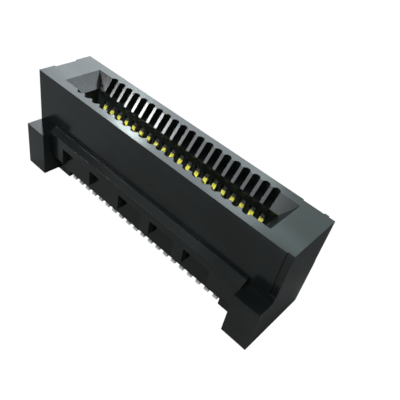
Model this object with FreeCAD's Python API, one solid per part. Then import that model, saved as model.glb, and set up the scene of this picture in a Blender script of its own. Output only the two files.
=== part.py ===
import FreeCAD, Part
import math
import os
from FreeCAD import Vector

"""Card edge connector, 2 x 20 positions, for mounting on the surface of a board.

Frame: millimetres.  The board's surface is z = 0 and +Z points up out of the
board to the card slot.  The rows of contacts run along X, and "near" is the side
towards -Y, where the feet stand out.  Sizes and shapes are laid out from the
middle of the card slot; the finished shapes are then shifted along Y, so that
x = y = 0 is the middle of the footprint.
"""

# Rows of contacts
POSITIONS = 20               # contacts in one row
PITCH = 0.80                 # from one contact to the next along a row

# Card slot with its lead-in
CARD_SLOT_WIDTH = 1.70       # for a card 1.57 thick
CARD_SLOT_DEPTH = 5.25       # rim to floor
CARD_SLOT_MARGIN = 0.975     # last contact to the slot's end
LEAD_IN_WIDTH = 0.70         # widening of the slot on each long side
LEAD_IN_LENGTH = 0.80        # widening of the slot at each end
LEAD_IN_DEPTH = 1.00         # below the rim

# Housing body
BODY_HEIGHT = 7.85           # from the board to the rim
LONG_RIM = 0.735             # flat rim outside the lead-in, long sides
END_RIM = 2.11               # flat rim outside the lead-in, ends
CORE_LIFT = 0.90             # board to the underside between the pads

# Band that stands out low on the near wall, from foot to foot
BAND_TOP = 4.20              # board to the upper edge of its sloping shoulder
BAND_LIFT = 1.73             # board to its lower edge
BAND_PROUD = 0.60            # beyond the wall above
SHOULDER_FALL = 0.43         # height of the shoulder

# Feet at the near corners and the pads under both ends
FOOT_LENGTH = 2.00           # along X
FOOT_REACH = 1.24            # beyond the near wall
FOOT_HEIGHT = 3.63           # above the board
PAD_GAP = 0.455              # last contact to the pad
PAD_SETBACK = 0.085          # pad's face inside the near wall

# Shallow mould steps at the rim and on the end walls
CORNER_STEP_LENGTH = 0.47    # of the long wall at the right end
CORNER_STEP_DEPTH = 0.09
RIM_BUMP_LENGTH = 0.31       # on the far long wall
RIM_RECESS_LENGTH = 1.55     # beside that bump
END_RECESS_WIDTH = 1.95      # of the left end wall
END_RECESS_DEPTH = 0.14

# Contact cavities
CAVITY_WALL = 0.51           # wall left outside a cavity
CAVITY_CORNER = 0.16         # cut across a cavity's outer corners at the rim
NOTCH_SILL = 0.05            # lead-in's lower edge to the floor of a notch
TIP_GAP = 0.12               # contact's free end to the bar above it

# Windows through the band, open towards the board
WINDOW_COUNT = 5
WINDOW_PITCH = 3.20
WINDOW_WIDTH = 2.30
WINDOW_DEPTH = 0.45          # from the band's face to the core
WINDOW_LINTEL = 0.67         # shoulder to the top of a window
WINDOW_LEAD = 0.35           # outer edge of the first window beyond the first contact

# Stamped contact
STRIP = 0.20                 # sheet thickness
BASE_WIDTH = 0.50            # pressed into the housing
BEAM_WIDTH = 0.38            # at the foot of the spring beam
TIP_WIDTH = 0.30             # at its free end
TAIL_WIDTH = 0.38
BEAM_SIDE_GAP = 0.085        # beam to cavity wall on each side
BASE_INSET = 0.17            # slot's wall to the middle of the base
BASE_TOP_GAP = 0.10          # base below the slot's floor
BASE_LIFT = 0.15             # underside of the core to the base
BEAM_RISE = 0.12             # slot's floor to the foot of the beam
CREST_PROUD = 0.30           # contact point beyond the slot's wall
CREST_DEPTH = 2.50           # rim to the contact point
TIP_RISE = 0.75              # contact point to the free end
TIP_LEAN = 0.42              # free end back from the contact point
TOE_SETBACK = 0.17           # toe of the tail inside the pad's face
TAIL_BEND = 0.15             # inner radius at the tail
BEAM_BEND = 0.60             # inner radius at the foot of the beam
CREST_BEND = 0.22            # inner radius at the contact point

# Sizes that follow
ROW_HALF = PITCH * (POSITIONS - 1) / 2
SLOT_HALF = CARD_SLOT_WIDTH / 2
SLOT_HALF_LENGTH = ROW_HALF + CARD_SLOT_MARGIN
SLOT_FLOOR = BODY_HEIGHT - CARD_SLOT_DEPTH
HALF_LENGTH = SLOT_HALF_LENGTH + LEAD_IN_LENGTH + END_RIM
HALF_WIDTH = SLOT_HALF + LEAD_IN_WIDTH + LONG_RIM
BAND_HALF = HALF_WIDTH + BAND_PROUD
CORE_HALF = BAND_HALF - WINDOW_DEPTH
SHOULDER_FOOT = BAND_TOP - SHOULDER_FALL
FOOT_FACE = HALF_WIDTH + FOOT_REACH
PAD_START = ROW_HALF + PAD_GAP
PAD_FACE = HALF_WIDTH - PAD_SETBACK
FOOTPRINT_SHIFT = (FOOT_FACE - HALF_WIDTH) / 2
CAVITY_WIDTH = BEAM_WIDTH + 2 * BEAM_SIDE_GAP
CAVITY_FACE = HALF_WIDTH - CAVITY_WALL
BASE_CENTRE = SLOT_HALF + BASE_INSET
BASE_TOP = SLOT_FLOOR - BASE_TOP_GAP
BASE_BOTTOM = CORE_LIFT + BASE_LIFT
WINDOW_START = -ROW_HALF - WINDOW_LEAD
WINDOW_TOP = SHOULDER_FOOT - WINDOW_LINTEL
CREST_Y = SLOT_HALF - CREST_PROUD + STRIP / 2
CREST_Z = BODY_HEIGHT - CREST_DEPTH
TIP_Z = CREST_Z + TIP_RISE
NOTCH_FLOOR = BODY_HEIGHT - LEAD_IN_DEPTH - NOTCH_SILL

# Tools reach past the faces they open by this much
PAST = 1.0


def box(x0, x1, y0, y1, z0, z1):
    """A block between two corners."""
    return Part.makeBox(x1 - x0, y1 - y0, z1 - z0, Vector(x0, y0, z0))


def row_positions():
    """The x of every contact in a row, from left to right."""
    return [index * PITCH - ROW_HALF for index in range(POSITIONS)]


def frustum(half_x, half_y, z, grow_x, grow_y, rise):
    """A pyramid stump that widens upward from a rectangle at height z."""
    rings = []
    for step in (0, 1):
        x = half_x + step * grow_x
        y = half_y + step * grow_y
        corners = [Vector(-x, -y, z + step * rise), Vector(x, -y, z + step * rise),
                   Vector(x, y, z + step * rise), Vector(-x, y, z + step * rise)]
        rings.append(corners)
    low, high = rings
    faces = [polygon(low), polygon(high)]
    for index in range(4):
        after = (index + 1) % 4
        faces.append(polygon([low[index], low[after], high[after], high[index]]))
    return Part.Solid(Part.Shell(faces))


def polygon(points):
    """A flat face through the given points."""
    return Part.Face(Part.makePolygon(points + [points[0]]))


def body_block():
    """The outside of the housing: walls, band, core, feet and pads, still solid."""
    walls = box(-HALF_LENGTH, HALF_LENGTH, -HALF_WIDTH, HALF_WIDTH, CORE_LIFT, BODY_HEIGHT)
    band_start = FOOT_LENGTH - HALF_LENGTH
    section = [(0, BAND_LIFT), (-BAND_HALF, BAND_LIFT), (-BAND_HALF, SHOULDER_FOOT),
               (-HALF_WIDTH, BAND_TOP), (0, BAND_TOP)]
    band = polygon([Vector(band_start, y, z) for y, z in section])
    pieces = [
        band.extrude(Vector(-2 * band_start, 0, 0)),
        box(band_start, -band_start, -CORE_HALF, 0, CORE_LIFT, BAND_TOP),
    ]
    for end in (-1, 1):
        outer = end * HALF_LENGTH
        inner = outer - end * FOOT_LENGTH
        pad = end * PAD_START
        pieces.append(box(min(outer, inner), max(outer, inner), -FOOT_FACE, HALF_WIDTH,
                          0, FOOT_HEIGHT))
        pieces.append(box(min(outer, pad), max(outer, pad), -PAD_FACE, HALF_WIDTH,
                          0, BAND_LIFT))
    return walls.fuse(pieces).removeSplitter()


def mould_steps():
    """Tools for the shallow steps on the outside of the body."""
    tools = []
    step_start = HALF_LENGTH - CORNER_STEP_LENGTH
    for side in (-1, 1):
        inner = side * (HALF_WIDTH - CORNER_STEP_DEPTH)
        outer = side * (HALF_WIDTH + PAST)
        tools.append(box(step_start, HALF_LENGTH + PAST, min(inner, outer), max(inner, outer),
                         BAND_TOP, BODY_HEIGHT + PAST))
    recess_end = step_start - RIM_BUMP_LENGTH
    tools.append(box(recess_end - RIM_RECESS_LENGTH, recess_end,
                     HALF_WIDTH - CORNER_STEP_DEPTH, HALF_WIDTH + PAST,
                     BAND_TOP, BODY_HEIGHT + PAST))
    tools.append(box(-HALF_LENGTH - PAST, -HALF_LENGTH + END_RECESS_DEPTH,
                     -END_RECESS_WIDTH / 2, END_RECESS_WIDTH / 2,
                     CORE_LIFT, BODY_HEIGHT + PAST))
    return tools


def card_opening():
    """The card slot and its four-sided lead-in."""
    slot = box(-SLOT_HALF_LENGTH, SLOT_HALF_LENGTH, -SLOT_HALF, SLOT_HALF,
               SLOT_FLOOR, BODY_HEIGHT + PAST)
    over = (LEAD_IN_DEPTH + PAST) / LEAD_IN_DEPTH
    lead_in = frustum(SLOT_HALF_LENGTH, SLOT_HALF, BODY_HEIGHT - LEAD_IN_DEPTH,
                      LEAD_IN_LENGTH * over, LEAD_IN_WIDTH * over, LEAD_IN_DEPTH * over)
    return [slot, lead_in]


def cavity(side):
    """One contact cavity at x = 0: the notch in the lead-in, the well below the bar."""
    half = CAVITY_WIDTH / 2
    corner = min(CAVITY_CORNER, 0.45 * CAVITY_WIDTH)
    outline = polygon([
        Vector(-half, 0, NOTCH_FLOOR), Vector(half, 0, NOTCH_FLOOR),
        Vector(half, CAVITY_FACE - corner, NOTCH_FLOOR),
        Vector(half - corner, CAVITY_FACE, NOTCH_FLOOR),
        Vector(corner - half, CAVITY_FACE, NOTCH_FLOOR),
        Vector(-half, CAVITY_FACE - corner, NOTCH_FLOOR),
    ])
    notch = outline.extrude(Vector(0, 0, BODY_HEIGHT + PAST - NOTCH_FLOOR))
    well = box(-half, half, 0, CAVITY_FACE, SLOT_FLOOR, TIP_Z + TIP_GAP)
    tools = [notch, well]
    return tools if side > 0 else turned(tools)


def base_slot(side):
    """The slot through the floor that holds the base of one contact at x = 0."""
    inner = side * (BASE_CENTRE - STRIP / 2)
    outer = side * (BASE_CENTRE + STRIP / 2)
    return box(-BASE_WIDTH / 2, BASE_WIDTH / 2, min(inner, outer), max(inner, outer),
               -PAST, SLOT_FLOOR + PAST)


def windows():
    """Tools for the near wall's windows."""
    tools = []
    for index in range(WINDOW_COUNT):
        start = WINDOW_START + index * WINDOW_PITCH
        tools.append(box(start, start + WINDOW_WIDTH, -BAND_HALF - PAST, -CORE_HALF,
                         BAND_LIFT - PAST, WINDOW_TOP))
    return tools


def turned(shapes):
    """Copies of the near side's shapes, turned half round to the far side."""
    copies = []
    for shape in shapes:
        copy = shape.copy()
        copy.rotate(Vector(0, 0, 0), Vector(0, 0, 1), 180)
        copies.append(copy)
    return copies


def housing():
    """The one-piece moulded housing."""
    tools = mould_steps() + card_opening() + windows()
    for side in (-1, 1):
        openings = cavity(side) + [base_slot(side)]
        for x in row_positions():
            for tool in openings:
                copy = tool.copy()
                copy.translate(Vector(x, 0, 0))
                tools.append(copy)
    return body_block().cut(tools).removeSplitter()


def bend(before, corner, after, radius):
    """Where an arc of the given radius leaves and joins two lines at a corner."""
    inward = (before - corner).normalize()
    outward = (after - corner).normalize()
    half_angle = inward.getAngle(outward) / 2
    run = radius / math.tan(half_angle)
    middle = (inward + outward).normalize()
    centre = corner + middle * (radius / math.sin(half_angle))
    return corner + inward * run, centre, corner + outward * run, middle


def strip_profile(points, radii):
    """Side view of a bent strip, from its centre line and inner bend radii."""
    sides = {-1: [], 1: []}
    count = len(points)
    for sign in (-1, 1):
        spine = []
        for index, point in enumerate(points):
            if index in (0, count - 1):
                other = points[1] if index == 0 else points[count - 2]
                along = (other - point) if index == 0 else (point - other)
                normal = Vector(1, 0, 0).cross(along).normalize()
                spine.append((point + normal * (sign * STRIP / 2),))
                continue
            before = points[index - 1]
            after = points[index + 1]
            normal = Vector(1, 0, 0).cross(after - before).normalize()
            start, centre, end, middle = bend(before, point, after,
                                              radii[index - 1] + STRIP / 2)
            inner = normal.dot(middle) > 0
            grow = -sign * STRIP / 2 if inner else sign * STRIP / 2
            radius = radii[index - 1] + STRIP / 2 + grow
            spine.append((centre + (start - centre).normalize() * radius,
                          centre - middle * radius,
                          centre + (end - centre).normalize() * radius))
        sides[sign] = spine
    edges = []
    for sign in (-1, 1):
        spine = sides[sign]
        for index, stop in enumerate(spine):
            if len(stop) == 3:
                edges.append(Part.Arc(*stop).toShape())
            if index + 1 < count:
                edges.append(Part.makeLine(stop[-1], spine[index + 1][0]))
    edges.append(Part.makeLine(sides[-1][0][0], sides[1][0][0]))
    edges.append(Part.makeLine(sides[-1][-1][-1], sides[1][-1][-1]))
    return Part.Face(Part.Wire(Part.__sortEdges__(edges)))


def contact():
    """One stamped and bent contact of the far row, at x = 0."""
    points = [
        Vector(0, PAD_FACE - TOE_SETBACK, STRIP / 2),
        Vector(0, BASE_CENTRE, STRIP / 2),
        Vector(0, BASE_CENTRE, SLOT_FLOOR + BEAM_RISE),
        Vector(0, CREST_Y, CREST_Z),
        Vector(0, CREST_Y + TIP_LEAN, TIP_Z),
    ]
    profile = strip_profile(points, [TAIL_BEND, BEAM_BEND, CREST_BEND])
    solid = profile.extrude(Vector(BASE_WIDTH, 0, 0))
    solid.translate(Vector(-BASE_WIDTH / 2, 0, 0))
    outline = []
    for sign in (-1, 1):
        half = [(TAIL_WIDTH / 2, -PAST), (TAIL_WIDTH / 2, BASE_BOTTOM),
                (BASE_WIDTH / 2, BASE_BOTTOM), (BASE_WIDTH / 2, BASE_TOP),
                (BEAM_WIDTH / 2, BASE_TOP), (TIP_WIDTH / 2, TIP_Z + PAST)]
        ordered = half if sign > 0 else half[::-1]
        outline += [Vector(sign * x, -PAST, z) for x, z in ordered]
    blank = polygon(outline).extrude(Vector(0, HALF_WIDTH + 2 * PAST, 0))
    return solid.common(blank).removeSplitter()


def build():
    """Every node of the connector with its shape."""
    nodes = {"housing": housing()}
    far = contact()
    near = turned([far])[0]
    for row, shape in (("near", near), ("far", far)):
        for number, x in enumerate(row_positions(), 1):
            copy = shape.copy()
            copy.translate(Vector(x, 0, 0))
            nodes[f"contact_{row}_{number:02d}"] = copy
    for shape in nodes.values():
        shape.translate(Vector(0, FOOTPRINT_SHIFT, 0))
    return nodes


os.makedirs("parts", exist_ok=True)
for name, shape in build().items():
    if shape.ShapeType != "Solid":
        shape = shape.Solids[0]
    shape.exportStep(f"parts/{name}.step")
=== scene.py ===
import logging
import math
from dataclasses import dataclass, field
from enum import Enum
from typing import Any

import bpy
from mathutils import Matrix, Vector

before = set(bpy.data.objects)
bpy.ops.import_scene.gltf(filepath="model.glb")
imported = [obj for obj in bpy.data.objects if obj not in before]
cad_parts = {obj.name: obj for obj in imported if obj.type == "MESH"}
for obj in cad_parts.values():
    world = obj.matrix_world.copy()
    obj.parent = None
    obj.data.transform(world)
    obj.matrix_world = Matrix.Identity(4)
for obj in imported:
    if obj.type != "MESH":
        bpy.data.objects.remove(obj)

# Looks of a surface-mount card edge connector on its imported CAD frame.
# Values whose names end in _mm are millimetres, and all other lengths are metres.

log = logging.getLogger("card_edge_connector")

MM = 0.001

Pair = tuple[float, float]
Triple = tuple[float, float, float]
WHITE: Triple = (1.0, 1.0, 1.0)
NOISE_MEAN = 0.5

# Sockets of the Mix node that carry colours.
MIX_FIRST = 6
MIX_SECOND = 7
MIX_RESULT = 2


class Row(Enum):
    """The two facing rows of contacts."""

    NEAR = "near"
    FAR = "far"


class Plating(Enum):
    """Metals on a contact, as base colour and roughness."""

    GOLD = ((0.98, 0.94, 0.15), 0.48)
    NICKEL = ((0.60, 0.57, 0.52), 0.24)
    TIN = ((0.96, 0.96, 0.96), 0.60)


class Value:
    """One shader socket, with Python's arithmetic on it."""

    def __init__(self, graph: "Graph", socket: bpy.types.NodeSocket | None) -> None:
        """Wraps a socket.

        Args:
            graph: The node graph that the socket belongs to.
            socket: An output socket of one of its nodes, or None for a node without outputs.
        """
        self.graph = graph
        self.socket = socket

    def math(self, operation: str, *others: "Value | float", reverse: bool = False) -> "Value":
        """Adds one Math node.

        Args:
            operation: The Math node's operation.
            others: The further operands.
            reverse: Puts this value last among the operands.

        Returns:
            The node's result.
        """
        operands: list[Any] = [self, *others]
        if reverse:
            operands.reverse()
        return self.graph.node("ShaderNodeMath", {"operation": operation},
                               dict(enumerate(operands)))

    def __add__(self, other: "Value | float") -> "Value":
        """Sum."""
        return self.math("ADD", other)

    def __radd__(self, other: float) -> "Value":
        """Reflected sum."""
        return self.math("ADD", other)

    def __sub__(self, other: "Value | float") -> "Value":
        """Difference."""
        return self.math("SUBTRACT", other)

    def __rsub__(self, other: float) -> "Value":
        """Reflected difference."""
        return self.math("SUBTRACT", other, reverse=True)

    def __mul__(self, other: "Value | float") -> "Value":
        """Product."""
        return self.math("MULTIPLY", other)

    def __rmul__(self, other: float) -> "Value":
        """Reflected product."""
        return self.math("MULTIPLY", other)

    def between(self, low: float, high: float) -> "Value":
        """A smooth step.

        Args:
            low: The value that gives 0.
            high: The value that gives 1.

        Returns:
            The step.
        """
        return self.graph.node("ShaderNodeMapRange", {"interpolation_type": "SMOOTHSTEP"},
                               {"Value": self, "From Min": low, "From Max": high})

    def past(self, start: float, blend: float) -> "Value":
        """A smooth step that starts at a value and ends one blend further."""
        return self.between(start, start + blend)


class Graph:
    """The node graph of one material or world."""

    def __init__(self, owner: bpy.types.Material | bpy.types.World) -> None:
        """Empties the owner's graph.

        Args:
            owner: The material or world.
        """
        owner.use_nodes = True
        self.owner = owner
        self.tree = owner.node_tree
        self.tree.nodes.clear()

    @classmethod
    def material(cls, name: str) -> "Graph":
        """Starts an empty material.

        Args:
            name: The material's name.

        Returns:
            Its graph.
        """
        return cls(bpy.data.materials.new(name))

    def node(self, kind: str, settings: dict[str, Any] | None = None,
             inputs: dict[str | int, Any] | None = None, output: str | int = 0) -> Value:
        """Adds one node.

        Args:
            kind: The node's type.
            settings: Its own settings, which are made before the sockets are set.
            inputs: Values or links of its sockets, by name or number.
            output: The socket that is handed back.

        Returns:
            The chosen output.
        """
        made = self.tree.nodes.new(kind)
        for key, value in (settings or {}).items():
            setattr(made, key, value)
        for key, value in (inputs or {}).items():
            if isinstance(value, Value):
                self.tree.links.new(value.socket, made.inputs[key])
            else:
                made.inputs[key].default_value = value
        return Value(self, made.outputs[output] if made.outputs else None)

    def place(self) -> Value:
        """The point's position in the part's own frame, in metres."""
        return self.node("ShaderNodeTexCoord", output="Object")

    def split(self, vector: Value) -> list[Value]:
        """The three parts of a vector."""
        made = self.node("ShaderNodeSeparateXYZ", {}, {0: vector}).socket.node
        return [Value(self, socket) for socket in made.outputs]

    def millimetres(self, vector: Value) -> list[Value]:
        """The three parts of a vector in metres, as millimetres."""
        return [part * (1 / MM) for part in self.split(vector)]

    def stretch(self, vector: Value, factors: Triple) -> Value:
        """A vector with each part multiplied by its factor."""
        return self.node("ShaderNodeVectorMath", {"operation": "MULTIPLY"},
                         {0: vector, 1: factors})

    def noise(self, vector: Value, per_mm: float, detail: float = 2.0,
              roughness: float = 0.5) -> Value:
        """Noise of a given fineness.

        Args:
            vector: Where it is read, in metres.
            per_mm: Its waves in one millimetre.
            detail: Octaves.
            roughness: Weight of the finer octaves.

        Returns:
            The noise, around 0.5.
        """
        return self.node("ShaderNodeTexNoise", {"noise_dimensions": "3D"},
                         {"Vector": vector, "Scale": per_mm / MM, "Detail": detail,
                          "Roughness": roughness})

    def mix(self, factor: Value | float, first: Value | Triple, second: Value | Triple) -> Value:
        """A blend of two colours.

        Args:
            factor: Share of the second.
            first: Colour at 0.
            second: Colour at 1.

        Returns:
            The blend.
        """
        def as_colour(colour: Value | Triple) -> Any:
            """A socket value for a colour."""
            return colour if isinstance(colour, Value) else (*colour, 1.0)

        inputs = {0: factor, MIX_FIRST: as_colour(first), MIX_SECOND: as_colour(second)}
        return self.node("ShaderNodeMix", {"data_type": "RGBA"}, inputs, output=MIX_RESULT)

    def bump(self, height: Value, depth_mm: float, normal: Value | None = None,
             strength: float = 1.0) -> Value:
        """A surface relief.

        Args:
            height: The relief, from 0 to 1.
            depth_mm: Its depth.
            normal: The normal that it starts from.
            strength: How much of it shows.

        Returns:
            The new normal.
        """
        start = {} if normal is None else {"Normal": normal}
        return self.node("ShaderNodeBump", {}, {"Height": height, "Strength": strength,
                                                "Distance": depth_mm * MM, **start})

    def ground(self, seen: float, mirrored: float) -> Value:
        """How much of the white ground a ray gets.

        Args:
            seen: Share for rays from the camera.
            mirrored: Share for rays from mirroring and clear surfaces.

        Returns:
            The share.
        """
        camera = self.node("ShaderNodeLightPath", output="Is Camera Ray")
        glossy = self.node("ShaderNodeLightPath", output="Is Glossy Ray")
        passed = self.node("ShaderNodeLightPath", output="Is Transmission Ray")
        return camera * seen + (glossy + passed) * mirrored

    def finish(self, **inputs: Any) -> bpy.types.Material:
        """Closes a material's graph with its shader.

        Args:
            inputs: Values or links of the shader's sockets, spaces written as "_".

        Returns:
            The material.
        """
        named = {key.replace("_", " "): value for key, value in inputs.items()}
        shader = self.node("ShaderNodeBsdfPrincipled", {}, named)
        self.node("ShaderNodeOutputMaterial", {}, {"Surface": shader})
        return self.owner


@dataclass(frozen=True)
class MouldedPlastic:
    """Black filled thermoplastic, straight from a polished mould.

    The tone drifts with the melt's flow, and faces that look along the rows are matt. The backs
    of the right-hand windows get a painted shade that darkens them, standing in for the shade in
    those recesses.
    """

    colour: Triple = (0.0085, 0.0108, 0.0108)
    pale: Triple = (0.0134, 0.0168, 0.0168)
    # Painted shade: the dark colour given to the backs of the right-hand windows.
    window_shade: Triple = (0.002, 0.0025, 0.0025)
    gloss: float = 0.175
    matt: float = 0.62
    ior: float = 1.50
    edge_radius_mm: float = 0.022
    edge_samples: int = 6
    cloud_per_mm: float = 0.35
    cloud_share: float = 0.6
    cloud_rough: float = 0.10
    flow_per_mm: float = 1.6
    flow_stretch: Triple = (0.25, 1.0, 1.0)
    tone_range: Pair = (0.35, 0.65)
    grain_per_mm: float = 24.0
    grain_rough: float = 0.08
    grain_depth_mm: float = 0.0012
    grain_strength: float = 0.35
    facing_range: Pair = (0.90, 0.97)
    recess_front_mm: float = -1.94
    recess_back_mm: float = -1.76
    recess_top_mm: float = 3.16
    recess_left_mm: float = -3.2
    recess_fade_mm: float = 1.6
    blend_mm: float = 0.06

    def material(self) -> bpy.types.Material:
        """Builds the finish.

        Returns:
            The material.
        """
        graph = Graph.material("moulded_black_plastic")
        place = graph.place()
        cloud = graph.noise(place, self.cloud_per_mm, detail=3.0)
        flow = graph.noise(graph.stretch(place, self.flow_stretch), self.flow_per_mm)
        grain = graph.noise(place, self.grain_per_mm, roughness=0.6)
        drift = cloud * self.cloud_share + flow * (1.0 - self.cloud_share)
        tone = drift.between(*self.tone_range)
        facing = graph.split(graph.node("ShaderNodeTexCoord", output="Normal"))
        ends, sides = [part.math("ABSOLUTE").between(*self.facing_range) for part in facing[:2]]
        # Painted shade: the backs of the right-hand windows are darkened in the colour, standing in
        # for the shade in those recesses.
        window_shade_mask = self._window_shade_mask(graph, place) * sides
        colour = graph.mix(window_shade_mask, graph.mix(tone, self.colour, self.pale), self.window_shade)
        rough = (self.gloss + ends * (self.matt - self.gloss)
                 + (cloud - NOISE_MEAN) * self.cloud_rough + (grain - NOISE_MEAN) * self.grain_rough)
        soft_edge = graph.node("ShaderNodeBevel", {"samples": self.edge_samples},
                               {"Radius": self.edge_radius_mm * MM})
        normal = graph.bump(grain, self.grain_depth_mm, soft_edge, strength=self.grain_strength)
        return graph.finish(Base_Color=colour, Roughness=rough, IOR=self.ior, Normal=normal)

    def _window_shade_mask(self, graph: Graph, place: Value) -> Value:
        """Where the painted shade goes: the thin layer that holds the backs of the right-hand
        windows.

        Args:
            graph: The material's graph.
            place: The point's position.

        Returns:
            1 in that layer, 0 elsewhere.
        """
        along, across, height = graph.millimetres(place)
        front = across.past(self.recess_front_mm, self.blend_mm)
        back = across.past(self.recess_back_mm, self.blend_mm)
        top = height.past(self.recess_top_mm, self.blend_mm)
        left = along.past(self.recess_left_mm, self.recess_fade_mm)
        return (front - back) * (1.0 - top) * left


@dataclass(frozen=True)
class PlatedStrip:
    """Stamped spring strip: gold where it touches, nickel beside that, tin on the tail.

    The limits are heights above the board. Matte tin is shaded as white, and not as a mirror.
    """

    tin_top_mm: float = 0.95
    gold_low_mm: float = 4.70
    gold_high_mm: float = 5.84
    blend_mm: float = 0.08
    wander_per_mm: float = 3.0
    wander_mm: float = 0.12
    rolled_per_mm: float = 6.0
    rolled_stretch: Triple = (6.0, 1.0, 0.35)
    rolled_rough: float = 0.06
    rolled_depth_mm: float = 0.0008
    rolled_strength: float = 0.3
    worn_share: float = 0.92
    worn_range: Pair = (0.35, 0.65)

    def material(self) -> bpy.types.Material:
        """Builds the finish.

        Returns:
            The material.
        """
        graph = Graph.material("plated_contact_strip")
        place = graph.place()
        wander = graph.noise(place, self.wander_per_mm)
        rolled = graph.noise(graph.stretch(place, self.rolled_stretch), self.rolled_per_mm,
                             detail=3.0)
        level = graph.millimetres(place)[2] + (wander - NOISE_MEAN) * self.wander_mm
        upper = level.past(self.tin_top_mm, self.blend_mm)
        golden = (level.past(self.gold_low_mm, self.blend_mm)
                  - level.past(self.gold_high_mm, self.blend_mm))
        gold, gold_rough = Plating.GOLD.value
        nickel, nickel_rough = Plating.NICKEL.value
        tin, tin_rough = Plating.TIN.value
        worn = tuple(self.worn_share * part for part in gold)
        gold_tone = graph.mix(rolled.between(*self.worn_range), worn, gold)
        colour = graph.mix(golden, graph.mix(upper, tin, nickel), gold_tone)
        rough = (tin_rough + upper * (nickel_rough - tin_rough)
                 + golden * (gold_rough - nickel_rough)
                 + (rolled - NOISE_MEAN) * self.rolled_rough)
        normal = graph.bump(rolled, self.rolled_depth_mm, strength=self.rolled_strength)
        return graph.finish(Base_Color=colour, Roughness=rough, Metallic=upper, Normal=normal)


@dataclass(frozen=True)
class PaleFloor:
    """White sweep under the part, mostly seen as white and hardly mirrored by the part."""

    colour: Triple = (0.34, 0.34, 0.34)
    seen: float = 0.88
    mirrored: float = 0.05
    white_level: float = 1.12

    def material(self) -> bpy.types.Material:
        """Builds the finish.

        Returns:
            The material.
        """
        graph = Graph.material("pale_floor")
        matt = graph.node("ShaderNodeBsdfDiffuse", {}, {"Color": (*self.colour, 1.0)})
        white = graph.node("ShaderNodeEmission", {},
                           {"Color": (*WHITE, 1.0), "Strength": self.white_level})
        both = graph.node("ShaderNodeMixShader", {},
                          {0: graph.ground(self.seen, self.mirrored), 1: matt, 2: white})
        graph.node("ShaderNodeOutputMaterial", {}, {"Surface": both})
        return graph.owner


@dataclass
class Housing:
    """The one-piece moulded housing."""

    node: str = "housing"
    plastic: MouldedPlastic = field(default_factory=MouldedPlastic)

    def dress(self) -> int:
        """Gives the moulding its finish.

        Returns:
            The number of pieces dressed.
        """
        give_finish(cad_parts[self.node], self.plastic.material())
        return 1


@dataclass
class ContactRow:
    """One row of stamped contacts."""

    row: Row
    strip: bpy.types.Material

    def names(self) -> list[str]:
        """The row's nodes, by number."""
        return sorted(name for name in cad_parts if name.startswith(f"contact_{self.row.value}_"))

    def dress(self) -> int:
        """Gives each contact its plating.

        Returns:
            The number of pieces dressed.
        """
        names = self.names()
        for name in names:
            give_finish(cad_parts[name], self.strip)
        return len(names)


@dataclass(frozen=True)
class Softbox:
    """One area lamp, aimed at the part.

    The angles are degrees, seen from the part. At level 1, a white surface that faces the lamp
    renders as white.
    """

    name: str
    azimuth: float
    elevation: float
    distance_mm: float
    size_mm: float
    level: float
    colour: Triple

    def build(self, aim: Vector) -> bpy.types.Object:
        """Adds the lamp.

        Args:
            aim: The point that it faces, in metres.

        Returns:
            The lamp's object.
        """
        lamp = bpy.data.lights.new(self.name, "AREA")
        lamp.shape = "DISK"
        lamp.size = self.size_mm * MM
        distance = self.distance_mm * MM
        lamp.energy = self.level * math.pi ** 2 * distance ** 2
        lamp.color = self.colour
        made = bpy.data.objects.new(self.name, lamp)
        around, up = math.radians(self.azimuth), math.radians(self.elevation)
        way = Vector((math.cos(around) * math.cos(up), math.sin(around) * math.cos(up),
                      math.sin(up)))
        made.location = aim + way * distance
        made.rotation_euler = way.to_track_quat("Z", "Y").to_euler()
        bpy.context.scene.collection.objects.link(made)
        return made


@dataclass(frozen=True)
class SnootedStrip(Softbox):
    """A strip lamp near the part, whose narrow light reaches the far crests past the near rim.

    The spread is its full angle in degrees. The narrow beam makes its light far stronger than
    its level says.
    """

    breadth_mm: float = 0.8
    spread: float = 4.5
    aim_mm: Triple = (-1.0, 1.20, 5.40)

    def build(self, aim: Vector) -> bpy.types.Object:
        """Adds the lamp.

        Args:
            aim: Not used. This one has its own point to face.

        Returns:
            The lamp's object.
        """
        made = super().build(Vector(self.aim_mm) * MM)
        made.data.shape = "RECTANGLE"
        made.data.size_y = self.breadth_mm * MM
        made.data.spread = math.radians(self.spread)
        return made


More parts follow.
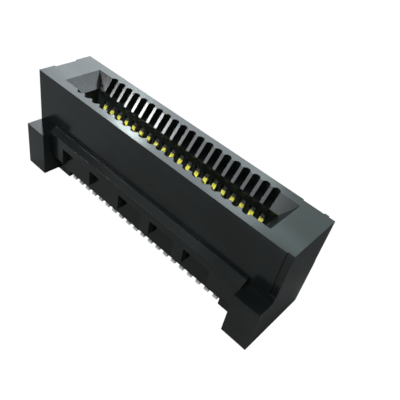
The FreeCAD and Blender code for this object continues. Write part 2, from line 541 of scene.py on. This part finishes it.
@dataclass
class Studio:
    """Floor, lamps and camera."""

    camera_mm: Triple = (16.697, -19.699, 25.915)
    forward: Triple = (-0.41465849, 0.62893334, -0.65764823)
    upward: Triple = (-0.54763363, 0.40470897, 0.73233057)
    lens_mm: float = 43.13
    sensor_mm: float = 36.0
    clip_mm: Pair = (1.0, 10000.0)
    aim_mm: Triple = (0.0, 0.0, 4.0)
    floor_mm: float = 1200.0
    floor_gap_mm: float = 0.01
    world_level: float = 0.08
    world_mirrored: float = 0.04
    lamps: tuple[Softbox, ...] = (
        Softbox("lamp_key", 131.5, 35.0, 160.0, 106.0, 0.39, (0.86, 0.95, 1.0)),
        Softbox("lamp_rim", 136.8, 34.8, 160.0, 11.0, 0.034, (0.86, 1.0, 0.98)),
        Softbox("lamp_top", 96.0, 48.0, 160.0, 100.0, 0.14, (0.80, 1.0, 0.98)),
        Softbox("lamp_shoulder", 227.4, 47.6, 160.0, 60.0, 0.012, (0.90, 1.0, 0.98)),
        Softbox("lamp_ribs", 229.2, 22.4, 160.0, 20.0, 0.18, (0.98, 1.0, 1.0)),
        Softbox("lamp_front", 242.0, 27.0, 160.0, 70.0, 0.17, (0.92, 0.97, 1.0)),
        Softbox("lamp_fill", 292.0, 64.0, 160.0, 110.0, 0.30, (0.94, 1.0, 0.98)),
        SnootedStrip("lamp_slot", 268.0, 57.0, 24.0, 30.0, 0.046, WHITE),
        Softbox("lamp_end", 40.7, 33.6, 160.0, 45.0, 0.09, (0.86, 0.95, 1.0)),
    )

    def build(self) -> int:
        """Sets up the floor, the lamps, the world and the camera.

        Returns:
            The number of lamps.
        """
        scene = bpy.context.scene
        scene.view_settings.view_transform = "Standard"
        self._floor()
        for lamp in self.lamps:
            lamp.build(Vector(self.aim_mm) * MM)
        self._world()
        scene.camera = self._camera()
        return len(self.lamps)

    def _floor(self) -> None:
        """Lays the floor."""
        half = self.floor_mm * MM / 2
        mesh = bpy.data.meshes.new("floor")
        low = -self.floor_gap_mm * MM
        corners = [(-half, -half, low), (half, -half, low), (half, half, low), (-half, half, low)]
        mesh.from_pydata(corners, [], [(0, 1, 2, 3)])
        mesh.materials.append(PaleFloor().material())
        floor = bpy.data.objects.new("floor", mesh)
        bpy.context.scene.collection.objects.link(floor)

    def _world(self) -> None:
        """Lights the part evenly from all round, on a white ground."""
        world = bpy.data.worlds.new("studio")
        graph = Graph(world)
        even = graph.node("ShaderNodeBackground", {},
                          {"Color": (*WHITE, 1.0), "Strength": self.world_level})
        white = graph.node("ShaderNodeBackground", {}, {"Color": (*WHITE, 1.0)})
        both = graph.node("ShaderNodeMixShader", {},
                          {0: graph.ground(1.0, self.world_mirrored), 1: even, 2: white})
        graph.node("ShaderNodeOutputWorld", {}, {"Surface": both})
        bpy.context.scene.world = world

    def _camera(self) -> bpy.types.Object:
        """Stands the camera where the photograph was taken from.

        Returns:
            The camera's object.
        """
        lens = bpy.data.cameras.new("camera")
        lens.sensor_width = self.sensor_mm
        lens.sensor_fit = "HORIZONTAL"
        lens.lens = self.lens_mm
        lens.clip_start, lens.clip_end = [reach * MM for reach in self.clip_mm]
        ahead = Vector(self.forward).normalized()
        right = ahead.cross(Vector(self.upward)).normalized()
        above = right.cross(ahead)
        turn = Matrix((right, above, -ahead)).transposed()
        made = bpy.data.objects.new("camera", lens)
        made.matrix_world = Matrix.LocRotScale(Vector(self.camera_mm) * MM,
                                               turn.to_quaternion(), None)
        bpy.context.scene.collection.objects.link(made)
        return made


def give_finish(piece: bpy.types.Object, material: bpy.types.Material) -> None:
    """Puts one material on every slot of a piece.

    Args:
        piece: The piece.
        material: Its finish.
    """
    if not piece.data.materials:
        piece.data.materials.append(material)
    for index in range(len(piece.data.materials)):
        piece.data.materials[index] = material


def main() -> None:
    """Builds the dressed part."""
    logging.basicConfig(level=logging.INFO, format="%(name)s: %(message)s")
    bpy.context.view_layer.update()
    log.info("housing: %d piece", Housing().dress())
    strip = PlatedStrip().material()
    for row in Row:
        log.info("%s row: %d contacts", row.value, ContactRow(row, strip).dress())
    log.info("studio: %d lamps", Studio().build())


if __name__ == "__main__":
    main()
